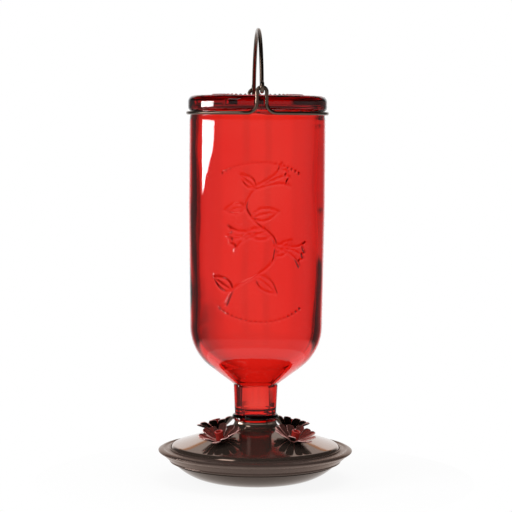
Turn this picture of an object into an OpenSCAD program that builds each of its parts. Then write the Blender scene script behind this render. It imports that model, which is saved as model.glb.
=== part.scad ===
// Hummingbird feeder: an upturned glass bottle in a wire hanger, screwed into a domed base with four flower ports.
// The base stands on z = 0, and the bottle's axis is the Z axis.
// Heights are stacked upwards: tray, rim ring, dome cover, bottle neck, bottle body, hanger.

/* [Tray] */
// Radius of the flat foot
foot_r = 22; // [16:0.5:28]
// How far the upright wall stands inside the dome's edge
wall_in = 1.5; // [1.2:0.1:3]
// Height of the bowl, from the foot to the rim ring's lower lip
bowl_h = 9.5; // [7:0.1:13]
// Thickness of the bowl
bowl_t = 1.6; // [1:0.1:2.4]
// Thickness of the upright wall
tray_wall_t = 2; // [1.6:0.1:2.6]
// Width of the ring that the foot stands on
foot_ring_w = 6.6; // [3:0.1:10]
// Depth of the recess inside the foot
foot_recess = 0.5; // [0.2:0.1:1]

/* [Rim ring] */
// How far the rim ring stands out past the dome
rim_w = 6.95; // [5.5:0.05:9]
// Height of the rim ring's sloping face
rim_h = 7; // [6:0.1:9]
// Radius of the rim ring's nose
rim_nose_r = 0.9; // [0.5:0.1:1.2]
// Twist that frees the cover from the tray, in degrees
lock_twist = 25; // [15:1:40]
// Number of locking lugs
lug_count = 4; // [3:1:6]

/* [Dome cover] */
// Outer radius of the dome's edge
dome_r = 46.1; // [44:0.1:49]
// Slope of the dome, in degrees
dome_slope = 17.3; // [12:0.1:20]
// Thickness of the sheet
dome_t = 0.8; // [0.5:0.1:1.2]
// Radius of the round shoulder at the dome's edge
dome_edge_r = 3; // [2:0.1:4]
// Outer radius of the cover's neck
cover_neck_r = 11.4; // [11:0.1:12]
// Radius of the flare between the neck and the dome
cover_flare_r = 3.2; // [2:0.1:4]

/* [Flower ports] */
// Distance of each port from the axis
port_at_r = 28; // [25:0.5:31]
// Outer radius of a feeding tube
tube_r = 2.2; // [1.8:0.1:2.6]
// Bore radius of a feeding tube
tube_bore_r = 1.5; // [1:0.1:1.6]
// How far a tube stands above the dome
tube_above = 6.5; // [5:0.1:8]
// How far a tube reaches below the dome
tube_below = 12; // [8:0.5:13]
// Number of petals on a flower
petal_count = 12; // [10:1:13]
// Radius of a flower to its petal tips
flower_r = 11.2; // [9:0.1:13]
// Width of a petal near its tip
petal_w = 4.3; // [3:0.1:4.5]
// Thickness of the flower's sheet
petal_t = 0.6; // [0.4:0.1:0.9]

/* [Bottle] */
// Greatest radius of the body
body_r = 36.95; // [34:0.05:40]
// Thickness of the glass in the body
glass_t = 3.8; // [2.5:0.1:5]
// Length from the transfer bead's seat to the bottle's end
bottle_len = 177; // [150:1:200]
// Bore radius of the neck
neck_bore_r = 7; // [5.5:0.1:7.5]
// Length of the neck above the transfer bead
neck_len = 16.9; // [12:0.1:22]
// Outer radius of the neck below the shoulder
neck_r = 12.05; // [11.9:0.05:13]
// Slope of the shoulder's cone, in degrees
shoulder_slope = 37; // [30:0.5:45]
// Radius of the round between the shoulder and the body
shoulder_round = 27.6; // [20:0.2:32]
// How far the heel bead stands out past the body
heel_over = 0.72; // [0.5:0.01:2]
// Height of the heel bead
heel_h = 8.2; // [6:0.1:10]
// Thickness of the glass at the closed end
end_t = 5; // [3.5:0.1:7]
// Number of stipple bars on the bottle's end
stipple_count = 56; // [36:4:64]

/* [Hanger] */
// Diameter of the hanger ring's wire
ring_wire_d = 2; // [1.6:0.1:2.2]
// Diameter of the bail's wire
bail_wire_d = 2.2; // [1.8:0.1:2.4]
// Play between the two wires in each loop
loop_play = 0.4; // [0.3:0.1:1]
// Height of the crowns' centres above the ring
loop_h = 11; // [9:0.1:14]
// Bend radius between the ring and each loop's leg
leg_bend_r = 5.3; // [4:0.1:6.5]
// How far the centre of the bail's arch lies below its eyes
arch_drop = 5.6; // [3:0.1:14]

/* [Hidden] */
// Round features are true circles whatever the number of sides in the preview
$fn = 96;
WIRE_SIDES = 16;
X = [1, 0, 0];
Y = [0, 1, 0];
Z = [0, 0, 1];
fit = 0.15;        // gap between fixed pieces that slide together
run_gap = 0.3;     // gap between pieces that turn in each other
slip = 0.2;        // gap under pieces that slide on each other
big = 200;
port_count = 4;

// Radii of the base
tray_r = dome_r - wall_in;
socket_r = tray_r + run_gap;
rim_r = dome_r + rim_w;

// Heights of the base
bowl_round = ((tray_r - foot_r) * (tray_r - foot_r) + bowl_h * bowl_h) / (2 * bowl_h);
nose_z = bowl_h + rim_h;
rim_top_z = nose_z + rim_nose_r;
seat_z = rim_top_z - 0.7;                 // ledge that the dome's edge stands on
ledge_t = 1.1;
ledge_in = 1.4;
tray_top_z = seat_z - ledge_t - slip;

// Dome: the knuckle's centre, the cone's line and the flare's centre
knuckle = [dome_r - dome_edge_r, seat_z + 0.1];
dome_n = [sin(dome_slope), cos(dome_slope)];
function dome_z(r) = knuckle[1] + (dome_edge_r - (r - knuckle[0]) * dome_n[0]) / dome_n[1];
flare = [cover_neck_r + cover_flare_r, dome_z(cover_neck_r + cover_flare_r) + cover_flare_r / dome_n[1]];
cover_top_z = flare[1] + 0.5;

// Bottle, from the mouth at the bottom to the closed end at the top
bead_r = neck_r + 0.45;
bead_h = 2.7;
bead_z = cover_top_z + 0.1;
neck_draft = 0.75;
neck_z = bead_z + bead_h;
lip_h = 0.6;
shoulder_z = neck_z + neck_len + lip_h;
end_z = bead_z + bottle_len;
heel_z = end_z - heel_h;
heel_r = body_r + heel_over;
body_draft = 0.95;
shoulder_r = body_r - body_draft;
round_at = [shoulder_r - shoulder_round,
            shoulder_z + (shoulder_round * sin(shoulder_slope) + shoulder_r - shoulder_round - neck_r - 0.25)
            * tan(shoulder_slope) + shoulder_round * cos(shoulder_slope)];
sleeve_t = 1;
collar_r = cover_neck_r - dome_t - 0.1;
collar_bore_r = collar_r - sleeve_t;
finish_r = collar_bore_r - run_gap;
finish_h = 16.1;
gasket_t = 1.5;
mouth_z = bead_z - finish_h;
gasket_z = mouth_z - gasket_t;
notch_depth = 0.4;
notch_r = body_r - notch_depth;
push_up = 2.2;
push_up_r = 19;
bar_len = 3.2;
bar_from = push_up_r + 3;

// Hanger
ring_wire_r = ring_wire_d / 2;
bail_wire_r = bail_wire_d / 2;
ring_z = heel_z - ring_wire_r - run_gap;
ring_r = notch_r + fit + ring_wire_r;
loop_y = heel_r + ring_wire_r + slip;
crown_bend_r = ring_wire_r + bail_wire_r + loop_play;
crown_z = ring_z + loop_h;
eye_r = ring_wire_r + bail_wire_r + loop_play / 2;
eye_z = crown_z + crown_bend_r;
arch_z = eye_z - arch_drop;
arch_r = norm([loop_y, arch_drop]) - eye_r;
eye_turn = atan2(arch_drop, loop_y);
widest_z = ring_z - 49.7;

// Locking lugs of the rim ring and their channels in the tray
lug_in = 1.1;
lug_h = 1.5;
lug_z = bowl_h + 1.9;
lug_half = 3.5;    // half width in degrees

FLOWERS = ["flower_1", "flower_2", "flower_3", "flower_4"];
TUBES = ["port_tube_1", "port_tube_2", "port_tube_3", "port_tube_4"];

// A ring sector of rectangular section, centred on an angle
module sector(r_in, r_out, z, h, from, to)
    rotate([0, 0, from]) translate([0, 0, z])
        rotate_extrude(angle = to - from) translate([r_in, 0]) square([r_out - r_in, h]);

// Half section within the bowl's curve, moved inwards by t, with a flat floor and an upright wall at radius wall_r
module bowl_outline(t, wall_r) intersection() {
    union() {
        translate([foot_r, bowl_round]) circle(bowl_round - t);
        square([foot_r, big]);
    }
    translate([0, t]) square([wall_r, bowl_round]);
}

// Nectar dish: flat foot, round bowl and an upright wall with the channels that the lugs lock in
module tray() color([0.42, 0.38, 0.34]) difference() {
    rotate_extrude() difference() {
        intersection() {
            bowl_outline(0, tray_r);
            square([big, tray_top_z]);
        }
        bowl_outline(bowl_t, tray_r - tray_wall_t);
        square([foot_r - foot_ring_w, foot_recess]);
    }
    for (k = [0 : lug_count - 1]) {
        at = k * 360 / lug_count;
        sector(tray_r - lug_in, tray_r + 1, lug_z - slip, lug_h + 2 * slip, at - lug_half - 0.5, at + lock_twist);
        sector(tray_r - lug_in - 0.1, tray_r + 1, lug_z - 2 * slip, big,
               at + lock_twist - lug_half - 0.5, at + lock_twist + lug_half + 0.5);
    }
}

// Satin band round the dome: sloping face, round nose, shallow gutter and the ledge under the dome's edge
module rim_ring() color([0.36, 0.32, 0.29]) {
    nose = [rim_r - rim_nose_r, nose_z];
    lip = [socket_r + 0.4, bowl_h];
    to_nose = nose - lip;
    nose_turn = atan2(to_nose[1], to_nose[0]) - asin(rim_nose_r / norm(to_nose));
    gutter_r = nose[0] - 2.4;
    rotate_extrude() {
        polygon([[socket_r, bowl_h + 0.1], lip, nose + rim_nose_r * [sin(nose_turn), -cos(nose_turn)],
                 nose, [nose[0], rim_top_z], [gutter_r, rim_top_z - 0.35],
                 [dome_r + 1.6, rim_top_z - 0.5], [dome_r + fit, rim_top_z - 0.2], [dome_r + fit, seat_z],
                 [tray_r - ledge_in, seat_z], [tray_r - ledge_in, seat_z - ledge_t], [socket_r, seat_z - ledge_t]]);
        translate(nose) circle(rim_nose_r);
    }
    for (k = [0 : lug_count - 1])
        sector(tray_r - lug_in + run_gap, socket_r + 0.5, lug_z, lug_h,
               k * 360 / lug_count - lug_half, k * 360 / lug_count + lug_half);
}

// Half section under the dome's skin, moved inwards by t
module dome_outline(t) {
    edge = dome_edge_r - t;
    bend = cover_flare_r + t;
    difference() {
        polygon([[0, seat_z], [knuckle[0] + edge, seat_z], [knuckle[0] + edge, knuckle[1]],
                 knuckle + edge * dome_n, flare - bend * dome_n,
                 [cover_neck_r - t, flare[1]], [cover_neck_r - t, cover_top_z], [0, cover_top_z]]);
        translate(flare) circle(bend);
    }
    intersection() {
        translate(knuckle) circle(edge);
        translate([knuckle[0], knuckle[1]]) square(big);
    }
}

// Moves a port's own frame, with Z out of the dome's skin, to port number k
module at_port(k)
    rotate([0, 0, 45 + k * 360 / port_count]) translate([port_at_r, 0, dome_z(port_at_r)])
        rotate([0, dome_slope, 0]) children();

// Spun metal cover: dome, flare and neck, with a hole for each feeding tube
module dome_cover() color([0.30, 0.25, 0.23]) difference() {
    rotate_extrude() difference() {
        dome_outline(0);
        dome_outline(dome_t);
        square([cover_neck_r - dome_t, big]);
    }
    for (k = [0 : port_count - 1]) at_port(k)
        translate([0, 0, -4]) cylinder(h = 8, r = tube_r + fit);
}

// Moulded insert in the cover's neck: sleeve for the bottle's mouth, flange under the dome and outlet cage below
module threaded_collar() color([0.16, 0.15, 0.15]) {
    cage_r = collar_r + 1.1;
    flange_r = 16.5;
    under = dome_t / dome_n[1] + fit;
    window_h = 5;
    difference() {
        rotate_extrude() polygon([
            [neck_bore_r - 0.2, gasket_z - 1.2], [collar_bore_r, gasket_z - 2.4], [collar_bore_r, bowl_t + 3],
            [cage_r, bowl_t + 3], [cage_r, dome_z(flange_r) - under - 3.2], [flange_r, dome_z(flange_r) - under - 1.6],
            [flange_r, dome_z(flange_r) - under], [flare[0] - 1.4, dome_z(flare[0] - 1.4) - under],
            [collar_r + 1.3, dome_z(flare[0] - 1.4) - under], [collar_r, dome_z(flare[0] - 1.4) - under + 0.6],
            [collar_r, cover_top_z - 0.2], [collar_bore_r, cover_top_z - 0.2],
            [collar_bore_r, gasket_z], [neck_bore_r - 0.2, gasket_z]]);
        for (turn = [0, 90]) rotate([0, 0, turn])
            translate([-big / 2, -window_h / 2, bowl_t + 4.2]) cube([big, window_h, window_h]);
    }
}

// Flat rubber washer that the bottle's mouth presses on
module neck_gasket() color([0.75, 0.72, 0.66])
    translate([0, 0, gasket_z]) difference() {
        cylinder(h = gasket_t, r = finish_r + 0.1);
        translate([0, 0, -1]) cylinder(h = gasket_t + 2, r = neck_bore_r);
    }

// Half section of the bottle's outside
module bottle_outline() {
    translate([0, mouth_z]) square([finish_r, bead_z + 1 - mouth_z]);
    translate([0, bead_z]) square([bead_r - bead_h / 2, bead_h]);
    translate([bead_r - bead_h / 2, bead_z + bead_h / 2]) circle(bead_h / 2);
    // neck, widening to a sharp lip with a groove above it
    polygon([[0, neck_z - 0.2], [neck_r - neck_draft, neck_z - 0.2], [neck_r, neck_z + neck_len - 0.5],
             [neck_r - 0.4, neck_z + neck_len], [neck_r - 1.2, neck_z + neck_len + lip_h / 2],
             [neck_r - 0.4, shoulder_z - 0.15], [neck_r + 0.25, shoulder_z],
             round_at + shoulder_round * [sin(shoulder_slope), -cos(shoulder_slope)], round_at,
             [0, round_at[1]]]);
    intersection() {
        translate(round_at) circle(shoulder_round);
        translate([round_at[0], round_at[1] - shoulder_round]) square(shoulder_round);
    }
    // body with a slight draft, and the notch that the wire ring sits in
    polygon([[0, round_at[1] - 0.1], [shoulder_r, round_at[1] - 0.1], [shoulder_r, round_at[1]],
             [body_r, widest_z], [body_r - 0.1, ring_z - 4],
             [notch_r, ring_z - ring_wire_r - run_gap], [notch_r, heel_z + 0.2], [0, heel_z + 0.2]]);
    // heel bead
    low_r = 1.7;
    top_r = 3.4;
    polygon([[0, heel_z], [heel_r - low_r, heel_z], [heel_r, heel_z + low_r], [heel_r, end_z - top_r],
             [heel_r - top_r, end_z], [0, end_z]]);
    translate([heel_r - low_r, heel_z + low_r]) circle(low_r);
    translate([heel_r - top_r, end_z - top_r]) circle(top_r);
}

// Half section of the space in the bottle
module bottle_space() {
    inner_round = shoulder_round - glass_t;
    inner_r = shoulder_r - glass_t;
    roof_z = end_z - end_t;
    roof_round = 5;
    start = round_at + inner_round * [sin(shoulder_slope), -cos(shoulder_slope)];
    translate([0, mouth_z - 1]) square([neck_bore_r, start[1] - mouth_z]);
    polygon([[0, start[1] - (start[0] - neck_bore_r) * tan(shoulder_slope)],
             [neck_bore_r, start[1] - (start[0] - neck_bore_r) * tan(shoulder_slope)], start, round_at,
             [0, round_at[1]]]);
    intersection() {
        translate(round_at) circle(inner_round);
        translate([round_at[0], round_at[1] - inner_round]) square(inner_round);
    }
    polygon([[0, round_at[1] - 0.1], [inner_r, round_at[1] - 0.1], [inner_r, round_at[1]],
             [body_r - glass_t, widest_z], [body_r - glass_t, roof_z - roof_round],
             [body_r - glass_t - roof_round, roof_z], [0, roof_z]]);
    translate([body_r - glass_t - roof_round, roof_z - roof_round]) circle(roof_round);
}

// One piece of pressed glass, upside down: mouth below, closed end with its push-up and stipple above
module bottle() color([0.80, 0.12, 0.09, 0.6]) {
    dish_r = (push_up_r * push_up_r + push_up * push_up) / (2 * push_up);
    rotate_extrude() intersection() {
        difference() {
            bottle_outline();
            bottle_space();
            translate([0, end_z - push_up + dish_r]) circle(dish_r);
        }
        square([big, 2 * big]);
    }
    // stipple bars stand on the flat of the end
    for (k = [0 : stipple_count - 1]) rotate([0, 0, k * 360 / stipple_count])
        translate([bar_from, 0, end_z - 0.25]) rotate([0, 90, 0]) cylinder(h = bar_len, r = 0.75, $fn = 6);
}

// Points along an arc, in the plane of the two directions given
function arc(centre, r, from, to, steps, across, up) =
    [for (k = [0 : steps]) let (a = from + (to - from) * k / steps) centre + r * (cos(a) * across + sin(a) * up)];
function flipped(path, m) = [for (p = path) [p[0] * m[0], p[1] * m[1], p[2] * m[2]]];
function reversed(path) = [for (k = [len(path) - 1 : -1 : 0]) path[k]];
function without_first(path) = [for (k = [1 : len(path) - 1]) path[k]];
function unit(v) = v / norm(v);

// Direction of a path at point k, from its neighbours
function heading(path, k, closed) = let (n = len(path))
    unit(path[closed ? (k + 1) % n : min(k + 1, n - 1)] - path[closed ? (k + n - 1) % n : max(k - 1, 0)]);

// Round wire of radius r along a path. side gives a direction across the wire at each point.
module wire(path, side, r, closed = false) {
    n = len(path);
    rings = closed ? n : n - 1;
    points = [for (k = [0 : n - 1])
        let (t = heading(path, k, closed), u = unit(side[k] - (side[k] * t) * t), v = cross(t, u))
        for (j = [0 : WIRE_SIDES - 1]) let (a = 360 * j / WIRE_SIDES) path[k] + r * (cos(a) * u + sin(a) * v)];
    walls = [for (k = [0 : rings - 1], j = [0 : WIRE_SIDES - 1])
        let (a = k * WIRE_SIDES, b = (k + 1) % n * WIRE_SIDES, j2 = (j + 1) % WIRE_SIDES)
        each [[a + j, b + j, b + j2], [a + j, b + j2, a + j2]]];
    ends = closed ? [] : [[for (j = [0 : WIRE_SIDES - 1]) j],
                          [for (j = [WIRE_SIDES - 1 : -1 : 0]) (n - 1) * WIRE_SIDES + j]];
    polyhedron(points, concat(walls, ends));
}

// A quarter of the hanger ring: half a crown, leg, rising bend, jog, and the ring itself after a straight run
function ring_quarter() = let (
    jog_r = 6,
    bend_x = crown_bend_r + leg_bend_r,
    jog_at = [bend_x, loop_y - jog_r, ring_z],
    jog_turn = atan2(jog_at[0], jog_at[1]) + acos((ring_r - jog_r) / norm([jog_at[0], jog_at[1]])))
    concat(arc([0, loop_y, crown_z], crown_bend_r, 90, 0, 6, X, Z),
           arc([bend_x, loop_y, ring_z + leg_bend_r], leg_bend_r, 180, 270, 7, X, Z),
           without_first(arc(jog_at, jog_r, 90, 90 - jog_turn, 4, X, Y)),
           arc([0, 0, ring_z], ring_r, 90 - jog_turn, 0, 9, X, Y));

// Bent wire ring in the bottle's notch, with a loop at the front and one at the rear
module hanger_ring() color([0.25, 0.21, 0.19]) {
    quarter = ring_quarter();
    half = concat(quarter, without_first(reversed(flipped(quarter, [1, -1, 1]))));
    other = flipped(half, [-1, -1, 1]);
    path = concat(without_first(half), without_first(other));
    wire(path, [for (p = path) [p[0], p[1], 0]], ring_wire_r, closed = true);
}

// Wire arch with an eye at each end, curled round a loop's crown
module bail() color([0.27, 0.23, 0.21]) {
    half = concat(arc([0, loop_y, eye_z], eye_r, 360 + 75, 180 + eye_turn, 16, Y, Z),
                  without_first(arc([0, 0, arch_z], arch_r, eye_turn, 90, 20, Y, Z)));
    path = concat(half, without_first(reversed(flipped(half, [1, -1, 1]))));
    wire(path, [for (p = path) X], bail_wire_r);
}

// Stamped and cupped flower in its own frame, seated round the tube
module flower_shape() {
    root_r = 3.4;
    root_slope = 12;
    cup_round = 13.2;
    cup = [root_r - cup_round * sin(root_slope), cup_round * cos(root_slope)];
    tip_at = flower_r - petal_w / 2;
    intersection() {
        rotate_extrude() {
            translate([tube_r + 0.1, 0]) square([root_r - tube_r, petal_t]);
            intersection() {
                difference() {
                    translate(cup) circle(cup_round);
                    translate(cup) circle(cup_round - petal_t);
                }
                translate([root_r - 0.2, 0]) square([flower_r, cup[1]]);
            }
        }
        translate([0, 0, -1]) linear_extrude(cup[1]) {
            circle(root_r + 0.9);
            for (k = [0 : petal_count - 1]) rotate(k * 360 / petal_count) {
                polygon([[root_r - 1, -0.7], [tip_at, -petal_w / 2], [tip_at, petal_w / 2], [root_r - 1, 0.7]]);
                translate([tip_at, 0]) circle(petal_w / 2);
            }
        }
    }
}

module flower(k) color([0.36, 0.08, 0.07]) at_port(k) translate([0, 0, slip / 2]) flower_shape();

// Feeding tube with a rolled mouth above and a flange below the dome's sheet
module tube_shape() rotate_extrude($fn = 48) {
    flange_z = -dome_t - fit;
    polygon([[tube_bore_r, -tube_below], [tube_r, -tube_below], [tube_r, flange_z - 1], [4, flange_z - 1],
             [4, flange_z], [tube_r, flange_z], [tube_r, tube_above - 0.4], [tube_bore_r, tube_above - 0.4]]);
    translate([(tube_r + tube_bore_r) / 2 + 0.1, tube_above - 0.45]) circle(0.45, $fn = 24);
}

module port_tube(k) color([0.62, 0.10, 0.09]) at_port(k) tube_shape();

tray();
rim_ring();
dome_cover();
threaded_collar();
neck_gasket();
bottle();
hanger_ring();
bail();
for (k = [0 : port_count - 1]) {
    flower(k);
    port_tube(k);
}
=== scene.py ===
# %% [markdown]
# # A hummingbird feeder in Blender
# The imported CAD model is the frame: it gives every piece its place and every joint its axis. This notebook dresses
# that frame. It makes the red glass, the bent wires, the spun cover and the stamped flowers again with finer meshes,
# and gives every surface a finish. All sizes below are written in millimetres and turned into metres by MM.

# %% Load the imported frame
import math
from contextlib import contextmanager
from functools import reduce

import bmesh
import bpy
import numpy as np
from mathutils import Matrix, Vector


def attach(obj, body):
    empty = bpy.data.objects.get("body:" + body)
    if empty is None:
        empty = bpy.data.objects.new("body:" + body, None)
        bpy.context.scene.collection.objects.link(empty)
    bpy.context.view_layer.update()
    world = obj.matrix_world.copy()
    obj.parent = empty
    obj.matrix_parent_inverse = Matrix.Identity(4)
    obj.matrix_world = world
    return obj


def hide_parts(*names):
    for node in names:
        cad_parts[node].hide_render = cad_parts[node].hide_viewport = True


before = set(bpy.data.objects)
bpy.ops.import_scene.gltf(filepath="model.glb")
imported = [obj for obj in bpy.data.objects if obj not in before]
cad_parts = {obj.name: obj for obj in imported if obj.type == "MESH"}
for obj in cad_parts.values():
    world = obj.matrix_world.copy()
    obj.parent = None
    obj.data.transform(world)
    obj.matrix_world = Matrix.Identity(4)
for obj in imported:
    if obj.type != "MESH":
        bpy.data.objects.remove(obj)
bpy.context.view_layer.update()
MM = 0.001

# %% [markdown]
# ## Camera first
# The camera is the one thing that can't be judged later, so it comes first. Its place was solved from the round shapes
# that the picture shows as ellipses. It stands about a metre away, a little above the feeder's waist, and its long
# lens keeps the bottle's sides straight. A small roll follows a camera that wasn't held quite level.

# %% Camera
CAMERA_DISTANCE = 1021 * MM
CAMERA_AZIMUTH = math.radians(-3.3)
CAMERA_HEIGHT = 194.8 * MM
AIM = Vector((-0.3, 0, 122.7)) * MM
CAMERA_ROLL = math.radians(0.4)
LENS_MM, SENSOR_MM = 132.05, 36

camera = bpy.data.objects.new("camera", bpy.data.cameras.new("camera"))
bpy.context.scene.collection.objects.link(camera)
camera.location = (CAMERA_DISTANCE * math.sin(CAMERA_AZIMUTH), -CAMERA_DISTANCE * math.cos(CAMERA_AZIMUTH),
                   CAMERA_HEIGHT)
look = AIM - camera.location
camera.rotation_euler = (look.to_track_quat("-Z", "Y").to_matrix()
                         @ Matrix.Rotation(CAMERA_ROLL, 3, "Z")).to_euler()
camera.data.lens, camera.data.sensor_width = LENS_MM, SENSOR_MM
bpy.context.scene.camera = camera
bpy.context.scene.view_settings.view_transform = "Standard"
print("camera at", [round(c, 4) for c in camera.location])

# %% [markdown]
# ## Small helpers
# A profile is a list of (radius, height) points in millimetres. Arcs and lines are joined into one profile, and
# `spin_mesh` turns it about the Z axis. Most of this object is round, so most of it is made this way, as it is on a
# lathe, a spinning chuck or in a bottle mould.

# %% Profile and mesh helpers
def arc(centre, radius, start, stop, steps):
    """Points on an arc, with angles in degrees."""
    turns = np.radians(np.linspace(start, stop, steps + 1))
    return [(centre[0] + radius * math.cos(a), centre[1] + radius * math.sin(a)) for a in turns]


def on_arc(centre, radius, angle):
    """One point of an arc."""
    return arc(centre, radius, angle, angle, 1)[0]


def line(start, stop, spacing):
    """Points from start to stop, about spacing apart, without the last one."""
    count = max(1, round(math.dist(start, stop) / spacing))
    return [(start[0] + (stop[0] - start[0]) * k / count, start[1] + (stop[1] - start[1]) * k / count)
            for k in range(count)]


def in_scene(name, mesh):
    """An object that holds a mesh, linked to the scene."""
    obj = bpy.data.objects.new(name, mesh)
    bpy.context.scene.collection.objects.link(obj)
    return obj


def smooth(mesh, sharp_degrees):
    """Smooth shading with a crease wherever faces meet at more than an angle."""
    mesh.shade_smooth()
    mesh.set_sharp_from_angle(angle=math.radians(sharp_degrees))


def new_object(name, verts, faces, sharp_degrees=35):
    """A smooth-shaded object from points in metres."""
    mesh = bpy.data.meshes.new(name)
    mesh.from_pydata([tuple(v) for v in verts], [], faces)
    mesh.validate()
    smooth(mesh, sharp_degrees)
    return in_scene(name, mesh)


def spin_mesh(profile, segments):
    """Turns a closed profile about Z. A point on the axis becomes one vertex."""
    verts, faces, rows = [], [], []
    turns = np.linspace(0, 2 * math.pi, segments, endpoint=False)
    for r, z in profile:
        if r < 1e-6:
            rows.append([len(verts)] * segments)
            verts.append((0, 0, z * MM))
            continue
        rows.append(list(range(len(verts), len(verts) + segments)))
        verts.extend((r * MM * math.cos(t), r * MM * math.sin(t), z * MM) for t in turns)
    for low, high in zip(rows, rows[1:] + rows[:1]):
        for k in range(segments):
            n = (k + 1) % segments
            ring = [low[k], low[n], high[n], high[k]]
            face = [v for i, v in enumerate(ring) if v != ring[i - 1]]
            if len(face) > 2:
                faces.append(face)
    return verts, faces


@contextmanager
def opened(mesh):
    """A mesh opened for editing, and written back at the end."""
    work = bmesh.new()
    work.from_mesh(mesh)
    yield work
    work.to_mesh(mesh)
    work.free()


def face_outwards(obj):
    """Turns every face of a closed mesh outwards."""
    with opened(obj.data) as work:
        bmesh.ops.recalc_face_normals(work, faces=work.faces)


def turned(name, section, segments, *materials):
    """A turned piece of a given section, in millimetres, with its faces outwards."""
    obj = new_object(name, *spin_mesh(section, segments))
    face_outwards(obj)
    for material in materials:
        obj.data.materials.append(material)
    return obj


def finished(obj):
    """Applies an object's modifiers and leaves a plain mesh."""
    bpy.context.view_layer.update()
    graph = bpy.context.evaluated_depsgraph_get()
    made = bpy.data.meshes.new_from_object(obj.evaluated_get(graph))
    obj.modifiers.clear()
    obj.data = made


# %% [markdown]
# ## Materials and node trees: helpers
# Colours are written as sRGB hex values, as a paint chart gives them, and turned into the linear values that the
# renderer works with. One function adds a node, sets it and links it. The others build on it.

# %% Colour and node helpers
def linear(hex_colour):
    """sRGB hex to linear RGBA."""
    parts = [int(hex_colour[k:k + 2], 16) / 255 for k in (1, 3, 5)]
    return (*[c / 12.92 if c <= 0.04045 else ((c + 0.055) / 1.055) ** 2.4 for c in parts], 1.0)


def feed(tree, node, inputs):
    """Sets inputs of a node, each to a value or from the socket that feeds it."""
    for key, value in inputs.items():
        if isinstance(value, bpy.types.NodeSocket):
            tree.links.new(value, node.inputs[key])
        else:
            node.inputs[key].default_value = value


def add_node(tree, kind, settings=None, inputs=None):
    """Adds a node with its settings and its inputs, each a value or a socket."""
    node = tree.nodes.new(kind)
    for key, value in (settings or {}).items():
        setattr(node, key, value)
    feed(tree, node, inputs or {})
    return node


def arithmetic(tree):
    """A function that adds a Math node to a tree and gives its result. Its operands are numbers or sockets."""
    def maths(operation, *operands):
        return add_node(tree, "ShaderNodeMath", {"operation": operation}, dict(enumerate(operands))).outputs[0]
    return maths


def new_group(name, sockets):
    """A Geometry Nodes tree that takes and gives a geometry, and takes more inputs, named and of a given type."""
    tree = bpy.data.node_groups.new(name, "GeometryNodeTree")
    for way in ("INPUT", "OUTPUT"):
        tree.interface.new_socket("Geometry", in_out=way, socket_type="NodeSocketGeometry")
    for label, kind in sockets.items():
        tree.interface.new_socket(label, in_out="INPUT", socket_type="NodeSocket" + kind)
    return tree, add_node(tree, "NodeGroupInput"), add_node(tree, "NodeGroupOutput")


def run_tree(obj, tree, values):
    """Puts a node tree on an object, sets its inputs by name, and turns the result into a plain mesh."""
    modifier = obj.modifiers.new("tree", "NODES")
    modifier.node_group = tree
    for item in tree.interface.items_tree:
        if item.item_type == "SOCKET" and item.in_out == "INPUT" and item.name in values:
            modifier[item.identifier] = values[item.name]
    finished(obj)


def empty_tree(block, output_kind):
    """The emptied node tree of a material or world, and its new output node."""
    block.use_nodes = True
    block.node_tree.nodes.clear()
    return block.node_tree, add_node(block.node_tree, output_kind)


def new_material(name):
    """A node material, its tree, its Principled shader and its output."""
    material = bpy.data.materials.new(name)
    tree, output = empty_tree(material, "ShaderNodeOutputMaterial")
    shader = add_node(tree, "ShaderNodeBsdfPrincipled")
    feed(tree, output, {"Surface": shader.outputs["BSDF"]})
    return material, tree, shader, output


def grain(tree, size_mm, detail, stretch=(1, 1, 1)):
    """Noise on object coordinates whose blobs are about size_mm across."""
    where = add_node(tree, "ShaderNodeTexCoord")
    mapping = add_node(tree, "ShaderNodeMapping", None, {"Scale": stretch, "Vector": where.outputs["Object"]})
    noise = add_node(tree, "ShaderNodeTexNoise", None, {"Scale": 1 / (size_mm * MM), "Detail": detail,
                                                        "Vector": mapping.outputs["Vector"]})
    return noise.outputs["Fac"]


def spread(tree, socket, low, high):
    """Maps a 0 to 1 value on to low to high."""
    node = add_node(tree, "ShaderNodeMapRange", None, {"To Min": low, "To Max": high, "Value": socket})
    return node.outputs["Result"]


def blend_colours(tree, factor, first, second):
    """Mixes two linear colours by a factor."""
    mix = add_node(tree, "ShaderNodeMix", {"data_type": "RGBA"}, {"Factor": factor, "A": first, "B": second})
    return mix.outputs["Result"]


def relief(tree, shader, height, depth_mm, strength=1.0):
    """Bump of a real depth on the shader's normal."""
    bump = add_node(tree, "ShaderNodeBump", None, {"Strength": strength, "Distance": depth_mm * MM, "Height": height})
    feed(tree, shader, {"Normal": bump.outputs["Normal"]})


# %% [markdown]
# ### Red pressed glass
# The bottle is soda-lime glass coloured in the melt, so its colour comes from its depth: light that crosses two walls
# stays bright red, and light that runs along a wall gets very dark. Volume Absorption does this by itself. The skin
# touched a cold mould, which leaves slow ripples, drawn out along the bottle.

# %% Red pressed glass
GLASS_IOR, GLASS_ROUGHNESS = 1.5, 0.015
GLASS_TINT, GLASS_DENSITY = (0.972, 0.124, 0.006, 1), 560
RIPPLE_MM, RIPPLE_DEPTH_MM = 14, 0.25


def red_glass():
    """Clear glass with a faintly rippled skin round a red absorbing inside."""
    material, tree, shader, output = new_material("red_pressed_glass")
    feed(tree, shader, {"Base Color": (1, 1, 1, 1), "Roughness": GLASS_ROUGHNESS, "IOR": GLASS_IOR,
                        "Transmission Weight": 1.0})
    relief(tree, shader, grain(tree, RIPPLE_MM, 1.5, (1, 1, 0.5)), RIPPLE_DEPTH_MM, 0.5)
    inside = add_node(tree, "ShaderNodeVolumeAbsorption", None, {"Color": GLASS_TINT, "Density": GLASS_DENSITY})
    feed(tree, output, {"Volume": inside.outputs["Volume"]})
    return material


RED_GLASS = red_glass()


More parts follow.
